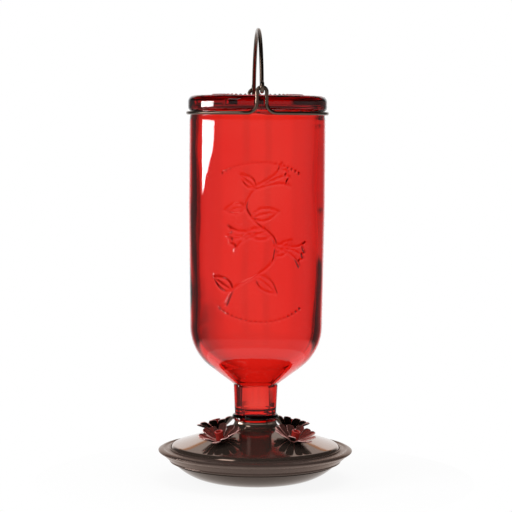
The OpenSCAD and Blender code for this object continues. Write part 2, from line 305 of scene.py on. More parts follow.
# %% [markdown]
# ### Dark plated wire, spun cover, mouldings and lacquer
# The wires and the cover are plated steel, a metal finish that mirrors its surroundings darkly. The rim is moulded
# with a satin face, and the dish under it is the same stuff polished: the difference is mostly roughness. The petals
# are plated sheet under red lacquer, which mirrors in red. Their cut edges are pale pink, a painted highlight, and
# their undersides dark, a painted shade that darkens the rear flowers seen from behind. The tubes are a shiny red
# moulding, and the hidden collar and washer are dull. The real grit of a mould is too fine for the render, so it is
# drawn about half a millimetre across.

# %% Dark metals and mouldings
def plated(name, colour, worn, roughness, wear_mm, dent_mm, metallic=1.0):
    """A metal finish with slight wear in its colour and roughness."""
    material, tree, shader, _ = new_material(name)
    patches = grain(tree, wear_mm, 3)
    feed(tree, shader, {"Metallic": metallic, "Base Color": blend_colours(tree, patches, linear(colour), linear(worn)),
                        "Roughness": spread(tree, patches, roughness * 0.75, roughness * 1.3)})
    relief(tree, shader, grain(tree, wear_mm * 0.25, 2), dent_mm, 0.3)
    return material


def moulded(name, colour, worn, roughness, metallic, grit_mm, depth_mm, edge="#ffffff"):
    """A moulded face: flecks of pigment and the fine grit of the mould, with a tint for its shine."""
    material, tree, shader, _ = new_material(name)
    flecks = blend_colours(tree, grain(tree, grit_mm * 6, 4), linear(colour), linear(worn))
    feed(tree, shader, {"Metallic": metallic, "Specular Tint": linear(edge), "Base Color": flecks,
                        "Roughness": roughness})
    relief(tree, shader, grain(tree, grit_mm, 2), depth_mm, 0.5)
    return material


WIRE_STEEL = plated("bronze_plated_steel_wire", "#6e5c50", "#7c6a5e", 0.2, 6, 0.003)
BLACK_NICKEL = plated("black_nickel_spun_steel", "#a88f82", "#b59c8e", 0.1, 14, 0.01, 0.95)
RIM_SATIN = moulded("satin_bronze_moulding", "#483b36", "#52443f", 0.18, 0.45, 0.35, 0.005, "#ecccb8")
DISH_GLOSS = moulded("polished_bronze_moulding", "#40332c", "#493c34", 0.1, 0.45, 0.8, 0.004, "#fff0e6")
COLLAR_BLACK = moulded("black_abs_moulding", "#171615", "#211f1e", 0.45, 0.0, 0.4, 0.02)
GASKET_RUBBER = moulded("grey_silicone_rubber", "#b5aea0", "#c2bbae", 0.6, 0.0, 0.4, 0.02)
RED_LACQUER = plated("red_lacquered_steel", "#c87a70", "#d48c82", 0.16, 3, 0.01, 0.93)
# Pale pink on the petals' cut edges: a painted highlight
PALE_EDGE_PAINTED_HIGHLIGHT = plated("pale_cut_edge_painted_highlight", "#d09a94", "#dcaaa4", 0.35, 2, 0.01, 0.3)
# Dark petal undersides: painted shade that darkens the rear flowers seen from behind
PETAL_UNDERSIDE_PAINTED_SHADE = plated("dark_petal_underside_painted_shade", "#4c423c", "#5a4f48", 0.22, 3, 0.01, 0.95)
TUBE_RED = moulded("red_moulded_tube", "#8f211c", "#9c2b25", 0.07, 0.0, 0.5, 0.01)

# %% [markdown]
# ## The bottle
# The bottle is upside down: its mouth is in the base, its closed end is on top. Its section is drawn once, outside
# and inside, and spun into a closed skin, because glass needs both of its faces to bend light as it should. The
# outside is divided finely enough to carry the raised sprig and the stipple bars.

# %% Bottle: sizes and section
BODY_R, SHOULDER_R, GLASS_T = 36.95, 36.0, 3.8
MOUTH_Z, BEAD_Z, NECK_Z, LIP_Z = 16.67, 32.77, 36.5, 52.97
ROUND_AT, ROUND_R, SLOPE = (8.4, 84.59), 27.6, 37
WIDEST_Z, RING_Z, HEEL_Z, END_Z = 150.57, 200.27, 201.57, 209.77
HEEL_R, PUSH_UP, PUSH_UP_R = 37.67, 2.2, 19
BORE_R, NECK_BORE_R, FINISH_R, END_T = 7.0, 8.6, 9.2, 5.0
BEAD_ROLL_R, HEEL_ROLL_R, END_ROLL_R, ROOF_ROLL_R, KNEE_R = 1.85, 1.7, 3.4, 5, 5
BARS, BAR_R, BAR_HALF, BAR_RISE = 56, 23.6, 1.6, 0.8
SKIN_STEP, WALL_STEP = 1.85, 6


def bottle_section():
    """Outside from the mouth up to the axis, then inside back down to the mouth."""
    dish = (PUSH_UP_R ** 2 + PUSH_UP ** 2) / (2 * PUSH_UP)
    outside = [(BORE_R, MOUTH_Z + 0.5)] + arc((BORE_R + 0.5, MOUTH_Z + 0.5), 0.5, 180, 270, 3)[1:]
    outside += arc((FINISH_R - 0.6, MOUTH_Z + 0.6), 0.6, 270, 360, 4)
    outside += line((FINISH_R, MOUTH_Z + 0.7), (FINISH_R, BEAD_Z - 0.1), 3)
    outside += [(FINISH_R, BEAD_Z - 0.1), (FINISH_R + 0.15, BEAD_Z), (10.6, BEAD_Z)]
    outside += arc((10.85, BEAD_Z + BEAD_ROLL_R), BEAD_ROLL_R, 275, 425, 18)
    outside += [(11.32, NECK_Z - 0.1)] + line((11.34, NECK_Z + 0.5), (12.0, LIP_Z - 1.6), 1.5)
    outside += [(12.02, LIP_Z - 1.4), (12.04, LIP_Z - 1.15), (12.0, LIP_Z - 0.8), (11.88, LIP_Z - 0.5),
                (11.86, LIP_Z - 0.35), (11.95, LIP_Z - 0.2), (12.15, LIP_Z - 0.05), (12.4, LIP_Z + 0.1)]
    outside += line((12.9, LIP_Z + 0.5), on_arc(ROUND_AT, ROUND_R, SLOPE - 90), 1.6)
    outside += arc(ROUND_AT, ROUND_R, SLOPE - 90, 0, 28)[:-1]
    outside += line((SHOULDER_R, ROUND_AT[1]), (BODY_R, WIDEST_Z), SKIN_STEP)
    outside += line((BODY_R, WIDEST_Z), (BODY_R - 0.1, RING_Z - 4), SKIN_STEP)
    outside += [(36.85, RING_Z - 4), (36.74, RING_Z - 2.8), (36.6, RING_Z - 1.6), (36.55, RING_Z - 0.8),
                (36.55, HEEL_Z - 0.3), (36.52, HEEL_Z + 0.05)]
    outside += arc((HEEL_R - HEEL_ROLL_R, HEEL_Z + HEEL_ROLL_R), HEEL_ROLL_R, -65, 0, 7)
    outside += line((HEEL_R, HEEL_Z + 1.9), (HEEL_R, END_Z - 3.5), 0.9)
    outside += arc((HEEL_R - END_ROLL_R, END_Z - END_ROLL_R), END_ROLL_R, 0, 90, 14)
    outside += line((HEEL_R - 4.2, END_Z), (BAR_R + BAR_HALF + 0.6, END_Z), 1.6)
    outside += line((BAR_R + BAR_HALF + 0.4, END_Z), (BAR_R - BAR_HALF - 0.4, END_Z), 0.4)
    outside += line((BAR_R - BAR_HALF - 0.4, END_Z), (PUSH_UP_R + 0.3, END_Z), 0.8)
    outside += [(r, END_Z - PUSH_UP + dish - math.sqrt(dish ** 2 - r ** 2)) for r in np.linspace(PUSH_UP_R, 0, 14)]
    roof_z, wall_r, inner_r = END_Z - END_T, BODY_R - GLASS_T, ROUND_R - GLASS_T
    inside = [(0, roof_z)] + [(r, roof_z) for r in np.linspace(3, wall_r - ROOF_ROLL_R, 9)]
    inside += arc((wall_r - ROOF_ROLL_R, roof_z - ROOF_ROLL_R), ROOF_ROLL_R, 90, 0, 12)[1:]
    inside += line((wall_r, roof_z - 6), (wall_r, WIDEST_Z), WALL_STEP)
    inside += line((wall_r, WIDEST_Z), (SHOULDER_R - GLASS_T, ROUND_AT[1]), WALL_STEP)
    inside += arc(ROUND_AT, inner_r, 0, SLOPE - 90, 22)
    low, fall = on_arc(ROUND_AT, inner_r, SLOPE - 90), math.tan(math.radians(SLOPE))
    bore = NECK_BORE_R
    knee = low[1] - (low[0] - bore) * fall
    inside += line((low[0] - 0.8, low[1] - 0.8 * fall), (bore + 2, knee + 1.5), 2)
    inside += arc((bore + KNEE_R, knee - 2.5), KNEE_R, 90 + SLOPE, 180, 9)
    step_z = NECK_Z + 3
    inside += line((bore, knee - 3.2), (bore, step_z + 0.6), 3)
    inside += [(bore, step_z + 0.4), (bore - 0.15, step_z - 0.1), (bore - 0.45, step_z - 0.5),
               (bore - 0.6, step_z - 1.1), (bore - 0.65, step_z - 2.5), (bore - 0.9, step_z - 3.6),
               (BORE_R + 0.3, step_z - 4.8), (BORE_R, step_z - 6)]
    inside += line((BORE_R, step_z - 7), (BORE_R, MOUTH_Z + 1), 3)
    return outside, inside


outside, inside = bottle_section()
print("bottle section:", len(outside), "points outside,", len(inside), "inside")

# %% [markdown]
# ### Raised sprig
# Such bottles carry a design cut into the mould. Here it is a sprig of our own: a winding stem with leaves, three
# trumpet blossoms and arcs of small beads. Each stroke is a curve with a width and a height. The skin's points are
# pushed out where they lie near a stroke, so the design is real relief that bends light.

# %% Sprig strokes
def curve_points(control, steps=14):
    """A smooth curve through control points (Catmull-Rom)."""
    p = [np.array(c, float) for c in control]
    p = [2 * p[0] - p[1]] + p + [2 * p[-1] - p[-2]]
    out = []
    for a, b, c, d in zip(p, p[1:], p[2:], p[3:]):
        for t in np.linspace(0, 1, steps, endpoint=False):
            out.append(0.5 * (2 * b + (c - a) * t + (2 * a - 5 * b + 4 * c - d) * t ** 2
                              + (3 * b - a - 3 * c + d) * t ** 3))
    return np.array(out + [p[-2]])


def placed(points, at, turn, size):
    """Turns, scales and moves a small drawing, in millimetres on the unrolled glass."""
    a = math.radians(turn)
    spin = np.array([[math.cos(a), math.sin(a)], [-math.sin(a), math.cos(a)]])
    return np.array(points, float) * size @ spin + np.array(at, float)


def leaf(at, turn, size):
    """Two edges and a vein."""
    edge = [(0, 0), (0.28, 0.2), (0.62, 0.19), (1, 0)]
    return [(placed(curve_points(edge), at, turn, size), 0.75, 0.55),
            (placed(curve_points([(x, -y) for x, y in edge]), at, turn, size), 0.75, 0.55),
            (placed(curve_points([(0.1, 0), (0.5, 0.02), (0.85, 0)]), at, turn, size), 0.65, 0.42)]


def trumpet(at, turn, size):
    """A blossom from the side: two flaring sides, a wavy lip and a fold."""
    side = [(0, 0.05), (0.35, 0.08), (0.7, 0.16), (0.95, 0.36)]
    lip = [(0.95, 0.36), (0.88, 0.2), (1.02, 0.08), (0.92, 0), (1.02, -0.08), (0.88, -0.2), (0.95, -0.36)]
    drawn = [side, [(x, -y) for x, y in side], lip, [(0.3, 0), (0.6, 0.02), (0.82, 0)]]
    return [(placed(curve_points(d), at, turn, size), 0.75, 0.58) for d in drawn]


def beads(centre, radius, start, stop, count, width):
    """Round beads along an arc: strokes of one point each."""
    return [(np.array([point]), width, 0.62) for point in arc(centre, radius, start, stop, count - 1)]


def sprig():
    """All strokes of the design, each as points, half width and height."""
    stem = curve_points([(-19, 99), (-14, 108), (-2, 115), (7, 123), (7, 134), (-2, 142), (-8, 151), (-3, 161)])
    strokes = [(stem, 0.95, 0.68)]
    for at, turn, size in [((-15, 106.5), 150, 14), ((-3, 114.5), -38, 15), ((7.3, 125), 40, 13),
                           ((5.5, 136), 172, 14), ((-5, 145.5), 12, 15), ((-8, 151), 190, 12), ((-3, 161), 140, 11)]:
        strokes += leaf(at, turn, size)
    for at, turn, size in [((-3, 161), 22, 19), ((7.4, 131), -18, 19), ((2, 139), 196, 20)]:
        strokes += trumpet(at, turn, size)
    strokes += beads((0, 128), 46, 62, 118, 19, 0.9)
    strokes += beads((0, 134), 44, 238, 302, 19, 0.9)
    return strokes


def relief_height(across, up, strokes):
    """Height in millimetres of the strokes at points on the unrolled glass."""
    place = np.stack([across, up], 1)
    best = np.zeros(len(place))
    for points, width, height in strokes:
        low, high = points.min(0) - width, points.max(0) + width
        close = ((place > low) & (place < high)).all(1)
        spot = place[close]
        if len(points) == 1:
            gap = np.linalg.norm(spot - points[0], axis=1)
        else:
            a, b = points[:-1], points[1:]
            ab = b - a
            t = np.clip(((spot[:, None] - a) * ab).sum(2) / (ab * ab).sum(1), 0, 1)
            gap = np.linalg.norm(spot[:, None] - (a + t[..., None] * ab), axis=2).min(1)
        best[close] = np.maximum(best[close], height * np.clip(1 - (gap / width) ** 2, 0, 1) ** 1.2)
    return best


PANEL_LOW, PANEL_HIGH, PANEL_HALF = 86, 178, 35
OUTER_SKIN_R = 35.5            # every point of the body farther out than this is on its outer skin


def on_panel(point, more=0):
    """Whether a point is on the front panel, or a little outside its edges."""
    return (math.hypot(point.x, point.y) > OUTER_SKIN_R * MM
            and (PANEL_LOW - more) * MM < point.z < (PANEL_HIGH + more) * MM
            and abs(math.atan2(point.x, -point.y)) * BODY_R < PANEL_HALF + 2 * more)


def press_relief(obj, section, strokes, cuts=2):
    """Divides the skin's front panel, sets it back on the true round, and pushes the strokes out of it."""
    body = sorted((z, r) for r, z in section if PANEL_LOW - 3 < z < PANEL_HIGH + 4 and r > OUTER_SKIN_R)
    with opened(obj.data) as work:
        panel = [f for f in work.faces if all(on_panel(v.co) for v in f.verts)]
        edges = list({e for f in panel for e in f.edges})
        bmesh.ops.subdivide_edges(work, edges=edges, cuts=cuts, use_grid_fill=True)
        skin = [v for v in work.verts if on_panel(v.co, 1)]
        place = np.array([v.co[:] for v in skin])
        radius = np.interp(place[:, 2] / MM, [z for z, _ in body], [r for _, r in body])
        turn = np.arctan2(place[:, 0], -place[:, 1])
        radius = (radius + relief_height(turn * BODY_R, place[:, 2] / MM, strokes)) * MM
        for v, r, t in zip(skin, radius, turn):
            v.co.x, v.co.y = r * math.sin(t), -r * math.cos(t)
        return len(panel)


WALL_WAVES = ((0.2, 11, 2, 0), (0.14, 23, -3, 1))      # height and length in millimetres, waves round, phase


def uneven_wall(verts):
    """The inside is blown by air, not by a mould, so the wall's thickness wanders a little."""
    reach = np.hypot(verts[:, 0], verts[:, 1]) / MM
    up = verts[:, 2] / MM
    inner = (reach > 31) & (reach < BODY_R - GLASS_T + 0.1) & (up > 84) & (up < END_Z - END_T - 6)
    side = np.arctan2(verts[:, 0], -verts[:, 1])
    ends = np.clip(np.minimum(up - 90, END_Z - END_T - 12 - up) / 12, 0, 1)
    wander = sum(height * np.sin(up / length + turns * side + phase) for height, length, turns, phase in WALL_WAVES)
    grow = 1 + np.where(inner, wander * ends, 0) / np.maximum(reach, 1e-9)
    verts[:, 0] *= grow
    verts[:, 1] *= grow
    return verts


# %% [markdown]
# ### Stipple bars by Geometry Nodes
# The ring of short bars on the bottle's end keeps hot glass off the belt. It repeats by a rule, so a small
# node tree makes it: each point of the skin near the ring rises by a wave that goes round once for each bar.

# %% Stipple tree
def stipple_tree():
    """Raises a ring of short bars on the bottle's end."""
    tree, enter, leave = new_group("stipple bars", {"Bars": "Float", "Height": "Float", "Ring radius": "Float",
                                                    "Half length": "Float", "End height": "Float",
                                                    "Glass": "Material"})
    maths = arithmetic(tree)
    place = add_node(tree, "GeometryNodeInputPosition")
    xyz = add_node(tree, "ShaderNodeSeparateXYZ", None, {0: place.outputs[0]})
    x, y, z = xyz.outputs
    wave = maths("COSINE", maths("MULTIPLY", maths("ARCTAN2", y, x), enter.outputs["Bars"]))
    ridge = maths("MAXIMUM", maths("MULTIPLY", maths("ADD", wave, 0.25), 0.8), 0)
    reach = maths("SQRT", maths("ADD", maths("MULTIPLY", x, x), maths("MULTIPLY", y, y)))
    off = maths("ABSOLUTE", maths("SUBTRACT", reach, enter.outputs["Ring radius"]))
    off = maths("DIVIDE", off, enter.outputs["Half length"])
    window = maths("MAXIMUM", maths("SUBTRACT", 1, maths("POWER", off, 4)), 0)
    on_top = maths("GREATER_THAN", z, maths("SUBTRACT", enter.outputs["End height"], 0.5 * MM))
    rise = maths("MULTIPLY", maths("MULTIPLY", ridge, window), enter.outputs["Height"])
    rise = maths("MULTIPLY", rise, on_top)
    offset = add_node(tree, "ShaderNodeCombineXYZ", None, {"Z": rise})
    moved = add_node(tree, "GeometryNodeSetPosition", None, {"Geometry": enter.outputs["Geometry"],
                                                             "Offset": offset.outputs[0]})
    real = add_node(tree, "GeometryNodeRealizeInstances", None, {"Geometry": moved.outputs[0]})
    dressed = add_node(tree, "GeometryNodeSetMaterial", None, {"Geometry": real.outputs[0],
                                                               "Material": enter.outputs["Glass"]})
    feed(tree, leave, {0: dressed.outputs[0]})
    return tree


# %% Make the bottle
SEGMENTS = BARS * 4
verts, faces = spin_mesh(outside + inside, SEGMENTS)
bottle = new_object("bottle_glass", uneven_wall(np.array(verts)), faces, 50)
print("relief panel:", press_relief(bottle, outside, sprig()), "faces divided")
run_tree(bottle, stipple_tree(), {"Bars": float(BARS), "Height": BAR_RISE * MM, "Ring radius": BAR_R * MM,
                                  "Half length": BAR_HALF * MM, "End height": END_Z * MM, "Glass": RED_GLASS})
face_outwards(bottle)
bottle.data.shade_smooth()
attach(bottle, "bottle")
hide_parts("bottle")
bottle.data.calc_loop_triangles()
print("bottle:", len(bottle.data.polygons), "faces,", len(bottle.data.loop_triangles), "triangles")

# %% [markdown]
# ## The two wires
# The hanger ring is one wire bent round the groove under the bottle's heel bead, with a loop at the front and rear.
# The bail is an arch with an eye at each end. Both are a path with a round section, so one node tree draws both:
# it turns a chain of points into a curve and sweeps a circle along it.

# %% Wire tree and paths
def wire_tree():
    """Sweeps a circle along a chain of edges."""
    tree, enter, leave = new_group("round wire", {"Wire radius": "Float", "Sides": "Int", "Metal": "Material"})
    path = add_node(tree, "GeometryNodeMeshToCurve", None, {"Mesh": enter.outputs["Geometry"]})
    circle = add_node(tree, "GeometryNodeCurvePrimitiveCircle", None, {"Resolution": enter.outputs["Sides"],
                                                                       "Radius": enter.outputs["Wire radius"]})
    swept = add_node(tree, "GeometryNodeCurveToMesh", None, {"Fill Caps": True, "Curve": path.outputs[0],
                                                             "Profile Curve": circle.outputs[0]})
    soft = add_node(tree, "GeometryNodeSetShadeSmooth", None, {"Geometry": swept.outputs[0]})
    real = add_node(tree, "GeometryNodeRealizeInstances", None, {"Geometry": soft.outputs[0]})
    dressed = add_node(tree, "GeometryNodeSetMaterial", None, {"Geometry": real.outputs[0],
                                                               "Material": enter.outputs["Metal"]})
    feed(tree, leave, {0: dressed.outputs[0]})
    return tree


def path_object(name, points, closed):
    """A chain of edges through points in millimetres."""
    mesh = bpy.data.meshes.new(name)
    count = len(points)
    edges = [(k, (k + 1) % count) for k in range(count if closed else count - 1)]
    mesh.from_pydata([tuple(np.array(p) * MM) for p in points], edges, [])
    return in_scene(name, mesh)


def bend(centre, radius, start, stop, steps, across, up):
    """An arc in space, in the plane of two directions."""
    across, up = np.array(across, float), np.array(up, float)
    return [np.array(centre) + radius * (math.cos(a) * across + math.sin(a) * up)
            for a in np.radians(np.linspace(start, stop, steps + 1))]


X, Y, Z = (1, 0, 0), (0, 1, 0), (0, 0, 1)
RING_WIRE_R, BAIL_WIRE_R, WIRE_SIDES = 1.0, 1.1, 24
RING_R, LOOP_Y, CROWN_R, LEG_BEND_R, JOG_R = 37.7, 38.87, 2.5, 5.3, 6.0
CROWN_Z, EYE_R = RING_Z + 11, 2.3
EYE_Z, ARCH_DROP = CROWN_Z + CROWN_R, 5.6        # the arch's centre is a little below its eyes
ARCH_Z = EYE_Z - ARCH_DROP
ARCH_R = math.hypot(LOOP_Y, ARCH_DROP) - EYE_R
EYE_TURN = math.degrees(math.atan2(ARCH_DROP, LOOP_Y))


def ring_path():
    """A quarter with half a loop, mirrored twice."""
    bend_x = CROWN_R + LEG_BEND_R
    jog = (bend_x, LOOP_Y - JOG_R, RING_Z)
    jog_turn = math.degrees(math.atan2(jog[0], jog[1]) + math.acos((RING_R - JOG_R) / math.hypot(jog[0], jog[1])))
    quarter = bend((0, LOOP_Y, CROWN_Z), CROWN_R, 90, 0, 12, X, Z)
    quarter += bend((bend_x, LOOP_Y, RING_Z + LEG_BEND_R), LEG_BEND_R, 180, 270, 12, X, Z)
    quarter += bend(jog, JOG_R, 90, 90 - jog_turn, 7, X, Y)[1:]
    quarter += bend((0, 0, RING_Z), RING_R, 90 - jog_turn, 0, 26, X, Y)
    half = quarter + [p * (1, -1, 1) for p in reversed(quarter[:-1])]
    return half[1:] + [p * (-1, 1, 1) for p in reversed(half[:-1])]


def bail_path():
    """An eye and half the arch, mirrored."""
    half = bend((0, LOOP_Y, EYE_Z), EYE_R, 435, 180 + EYE_TURN, 30, Y, Z)
    half += bend((0, 0, ARCH_Z), ARCH_R, EYE_TURN, 90, 40, Y, Z)[1:]
    return half + [p * (1, -1, 1) for p in reversed(half[:-1])]


WIRE_TREE = wire_tree()
ring = path_object("hanger_wire", ring_path(), closed=True)
run_tree(ring, WIRE_TREE, {"Wire radius": RING_WIRE_R * MM, "Sides": WIRE_SIDES, "Metal": WIRE_STEEL})
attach(ring, "bottle")
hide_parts("hanger_ring")
bail = path_object("bail_wire", bail_path(), closed=False)
run_tree(bail, WIRE_TREE, {"Wire radius": BAIL_WIRE_R * MM, "Sides": WIRE_SIDES, "Metal": WIRE_STEEL})
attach(bail, "bail")
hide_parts("bail")
print("wires:", len(ring.data.polygons), "and", len(bail.data.polygons), "faces")

# %% [markdown]
# ## The spun cover
# The cover is one thin sheet of steel, spun over a form: a cone with a rounded edge, flared up into a short neck.
# Both faces of the sheet are in its section. It mirrors the flowers and the glass above it, so its mesh is fine and
# its cone exact.

# %% Cover
DOME_SLOPE, DOME_T = 17.3, 0.8
KNUCKLE, KNUCKLE_R, FLARE, FLARE_R = (43.1, 16.8), 3, (14.6, 32.17), 3.2
TURN = 90 - DOME_SLOPE
ROUND_STEPS = 192


def cover_section():
    """The sheet's upper face from the neck down to the edge, then its lower face back up."""
    under_flare, under_knuckle = FLARE_R + DOME_T, KNUCKLE_R - DOME_T
    skin = [(10.75, 32.67), (11.0, 32.75), (11.25, 32.72), (11.4, 32.5)]
    skin += arc(FLARE, FLARE_R, 180, 180 + TURN, 14)
    skin += line(on_arc(FLARE, FLARE_R, 180 + TURN), on_arc(KNUCKLE, KNUCKLE_R, TURN), 3)[1:]
    skin += arc(KNUCKLE, KNUCKLE_R, TURN, 0, 12) + [(46.1, 16.72), (45.3, 16.72)]
    skin += arc(KNUCKLE, under_knuckle, 0, TURN, 8)
    skin += line(on_arc(KNUCKLE, under_knuckle, TURN), on_arc(FLARE, under_flare, 180 + TURN), 6)[1:]
    skin += arc(FLARE, under_flare, 180 + TURN, 180, 10) + [(10.6, 32.55)]
    return skin


cover_skin = turned("cover_shell", cover_section(), ROUND_STEPS, BLACK_NICKEL)
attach(cover_skin, "cover")
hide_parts("dome_cover")


# %% [markdown]
# ## Flowers and feeding tubes
# Each flower is stamped from sheet: twelve petals on a small ring, then cupped. They are red on top, with a painted
# highlight in pale pink on their cut edges and painted shade in dark underneath. One petal is modelled, and a node
# tree sets twelve round the tube, each a touch different, as hand-bent sheet is. A matrix carries the finished flower
# to its port on the cover's slope.

# %% One petal
PETALS, PETAL_W, PETAL_T, ROOT_R, TIP_R = 12, 4.3, 0.5, 3.4, 11.2
ROOT_HALF, WIDEST_AT, PETAL_SEAT, PETAL_RISE, PETAL_CURL = 0.75, 0.78, 0.4, 4.5, 0.5
SOFT_EDGE, UNEVENNESS, FIRST_SEED = 0.12, 0.09, 11
PORT_R, PORTS = 28, 4


def petal_mesh():
    """A spoon-shaped petal along +X, cupped upwards along and across."""
    rows, cols = 18, 8
    verts, faces = [], []
    for i in range(rows + 1):
        s = i / rows
        reach = ROOT_R - 0.5 + (TIP_R - ROOT_R + 0.5) * s
        if s < WIDEST_AT:
            half = ROOT_HALF + (PETAL_W / 2 - ROOT_HALF) * math.sin(math.pi / 2 * s / WIDEST_AT) ** 1.1
        else:
            half = PETAL_W / 2 * math.sqrt(max(0.012, 1 - ((s - WIDEST_AT) / (1 - WIDEST_AT)) ** 2))
        z = PETAL_SEAT + PETAL_RISE * (max(0, reach - ROOT_R) / (TIP_R - ROOT_R)) ** 1.2
        for j in range(cols + 1):
            t = 2 * j / cols - 1
            edge = PETAL_CURL * t * t * (half / (PETAL_W / 2)) ** 1.5
            verts.append((reach * MM, half * t * MM, (z + edge) * MM))
    for i in range(rows):
        for j in range(cols):
            a = i * (cols + 1) + j
            faces.append((a, a + cols + 1, a + cols + 2, a + 1))
    return verts, faces


def petal_tree():
    """Sets petals round a tube, each turned a little at random, and gives each of their slots its material."""
    # The cut edges' material is a painted highlight, and the undersides' material is a painted shade
    coats = ("Lacquer", "Cut edge painted highlight", "Underside painted shade")
    tree, enter, leave = new_group("petals round a tube", {"Petals": "Int", "Unevenness": "Float", "Seed": "Int",
                                                           **{coat: "Material" for coat in coats}})
    maths = arithmetic(tree)
    points = add_node(tree, "GeometryNodePoints", None, {"Count": enter.outputs["Petals"]})
    index = add_node(tree, "GeometryNodeInputIndex")
    turn = maths("MULTIPLY", index.outputs[0], maths("DIVIDE", 2 * math.pi, enter.outputs["Petals"]))
    least, most = [add_node(tree, "ShaderNodeVectorMath", {"operation": "SCALE"},
                            {0: (0.3 * way, way, 0.6 * way), "Scale": enter.outputs["Unevenness"]}) for way in (-1, 1)]
    shake = add_node(tree, "FunctionNodeRandomValue", {"data_type": "FLOAT_VECTOR"},
                     {"Min": least.outputs[0], "Max": most.outputs[0], "Seed": enter.outputs["Seed"]})
    round_tube = add_node(tree, "ShaderNodeCombineXYZ", None, {"Z": turn})
    pose = add_node(tree, "ShaderNodeVectorMath", {"operation": "ADD"},
                    {0: round_tube.outputs[0], 1: shake.outputs[0]})
    spun = add_node(tree, "FunctionNodeEulerToRotation", None, {"Euler": pose.outputs[0]})
    petals = add_node(tree, "GeometryNodeInstanceOnPoints", None,
                      {"Points": points.outputs[0], "Instance": enter.outputs["Geometry"],
                       "Rotation": spun.outputs[0]})
    real = add_node(tree, "GeometryNodeRealizeInstances", None, {"Geometry": petals.outputs[0]})
    slot = add_node(tree, "GeometryNodeInputMaterialIndex")
    dressed = real
    for place, coat in enumerate(coats):
        chosen = add_node(tree, "FunctionNodeCompare", {"data_type": "INT", "operation": "EQUAL"},
                          {"A": slot.outputs[0], "B": place})
        dressed = add_node(tree, "GeometryNodeSetMaterial", None,
                           {"Geometry": dressed.outputs[0], "Selection": chosen.outputs[0],
                            "Material": enter.outputs[coat]})
    feed(tree, leave, {0: dressed.outputs[0]})
    return tree


def cover_z(r):
    """Height of the cover's skin at a radius."""
    slope = math.radians(DOME_SLOPE)
    return KNUCKLE[1] + (KNUCKLE_R - (r - KNUCKLE[0]) * math.sin(slope)) / math.cos(slope)


def port_place(k):
    """Matrix of port k's own frame, with Z out of the cover's skin."""
    return (Matrix.Rotation(math.radians(45 + 90 * k), 4, "Z")
            @ Matrix.Translation((PORT_R * MM, 0, cover_z(PORT_R) * MM))
            @ Matrix.Rotation(math.radians(DOME_SLOPE), 4, "Y"))


# %% Flowers and tubes at their ports
PETAL_TREE = petal_tree()
tubes = []
SMALL_ROUND_STEPS, TUBE_BORE_R, TUBE_R, FLANGE_R = 48, 1.5, 2.2, 4
root_section = [(2.35, 0.12), (3.5, 0.15), (4.0, 0.35), (3.9, 0.75), (2.35, 0.6)]
tube_section = ([(TUBE_BORE_R, -12), (TUBE_R, -12), (TUBE_R, -1.95), (FLANGE_R, -1.95), (FLANGE_R, -0.95),
                 (TUBE_R, -0.95)]
                + line((TUBE_R, -0.8), (TUBE_R, 4.4), 1.3) + arc((1.98, 5.02), 0.46, -60, 180, 12)
                + line((TUBE_BORE_R, 4.6), (TUBE_BORE_R, -11), 4))
for k in range(PORTS):
    petal = new_object(f"flower_petals_{k + 1}", *petal_mesh())
    for coat in (RED_LACQUER, PALE_EDGE_PAINTED_HIGHLIGHT, PETAL_UNDERSIDE_PAINTED_SHADE):
        petal.data.materials.append(coat)
    thick = petal.modifiers.new("sheet", "SOLIDIFY")
    thick.thickness = PETAL_T * MM
    thick.offset = 0
    # The rim faces get the pale painted highlight
    thick.material_offset_rim = 1
    # The underside gets the dark painted shade
    thick.material_offset = 2
    rounded = petal.modifiers.new("soft edge", "BEVEL")
    rounded.width = SOFT_EDGE * MM
    rounded.segments = 2
    finished(petal)
    run_tree(petal, PETAL_TREE, {"Petals": PETALS, "Unevenness": UNEVENNESS, "Seed": FIRST_SEED + k,
                                 "Lacquer": RED_LACQUER, "Cut edge painted highlight": PALE_EDGE_PAINTED_HIGHLIGHT, "Underside painted shade": PETAL_UNDERSIDE_PAINTED_SHADE})
    root = turned(f"flower_root_{k + 1}", root_section, SMALL_ROUND_STEPS, RED_LACQUER)
    tube = turned(f"feeding_tube_{k + 1}", tube_section, SMALL_ROUND_STEPS, TUBE_RED)
    tubes.append(tube)
    for piece, node, slot in ((petal, f"flower_{k + 1}", "flower"), (root, f"flower_{k + 1}", "flower"),
                              (tube, f"port_tube_{k + 1}", "port_tube")):
        piece.data.transform(port_place(k))
        smooth(piece.data, 40)
        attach(piece, "cover")
        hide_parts(node)
print("flowers:", PORTS, "with", PETALS, "petals each,", len(petal.data.polygons), "faces")


# %% [markdown]
# ## The rim's rolled band
# The band round the cover has a rolled nose, a shallow groove under it and a rounded lower lip that throws a dark
# line on the dish. The frame has the plain form. Here the section gets those small steps, and is spun again.

# %% Rim band
def rim_section():
    """From the top over the nose, down the flank, round the lip and up the inside to the gutter."""
    nose = (52.5, 16.25)
    skin = arc(nose, 0.53, 30, -35, 5)
    skin = [(50.3, 17.4), (50.8, 17.38), (51.4, 17.25), (52.0, 17.03), (52.5, 16.75)] + skin[1:]
    skin += [(52.75, 15.8), (52.3, 15.4), (51.6, 14.95), (51.1, 14.75), (50.75, 14.6), (50.4, 14.25)]
    skin += line((50.2, 14.0), (47.6, 11.6), 0.6) + [(47.6, 11.6), (47.35, 11.45), (47.05, 11.35)]
    skin += arc((46.55, 10.8), 0.5, 30, -110, 8)
    skin += [(45.9, 10.3), (44.95, 10.3), (44.95, 15.55), (43.3, 15.6), (43.3, 16.7), (46.25, 16.7), (46.27, 17.4)]
    skin += arc((46.7, 17.5), 0.4, 180, 20, 8)
    skin += [(47.25, 17.4), (47.7, 17.15), (48.3, 16.98), (49.0, 16.95), (49.6, 17.05), (50.0, 17.28)]
    return skin


